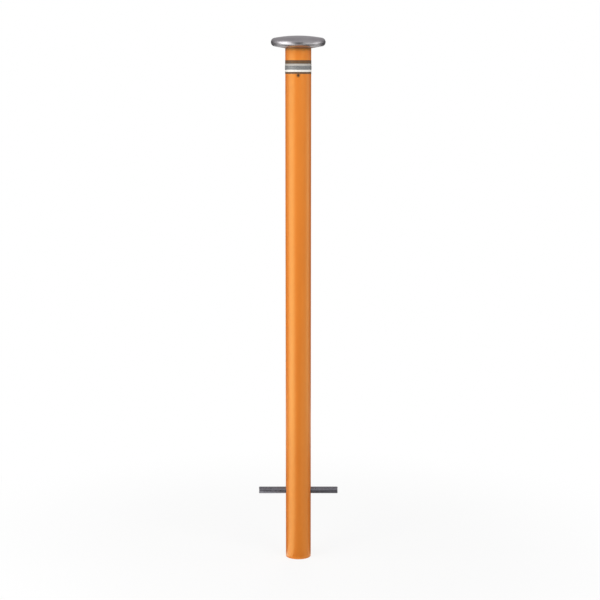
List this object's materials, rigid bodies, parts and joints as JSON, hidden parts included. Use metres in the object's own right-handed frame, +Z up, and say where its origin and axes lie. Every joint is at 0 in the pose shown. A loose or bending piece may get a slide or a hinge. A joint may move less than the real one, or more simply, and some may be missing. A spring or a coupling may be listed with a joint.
{
  "type": "fixed bollard",
  "caption": "Cast-in street bollard: a painted steel pipe with a flat stainless mushroom cap, a reflective band under the cap and a cross bar near the foot that keys it into its footing.",
  "frame": {"origin": "middle of the post's foot", "axes": "+Z up the post, X along the anchor bar, -Y to the front, where the cap's set screw is"},
  "size_m": [0.19, 0.127, 1.25],
  "materials": {
    "post_paint": "semi-gloss orange powder coat",
    "cap_stainless": "spun and polished stainless",
    "sleeve_stainless": "as drawn",
    "screw_steel": "dark",
    "band_base": "matt dark film",
    "band_reflective": "silver prismatic film with pale sealed borders",
    "bar_steel": "plain round bar as rolled"
  },
  "bodies": {
    "root": {"post_tube": "post_paint", "cap_shell": "cap_stainless", "cap_spigot": "sleeve_stainless", "set_screw": "screw_steel", "tape_backing": "band_base", "reflective_sheet": "band_reflective", "anchor_bar": "bar_steel"}
  },
  "joints": []
}
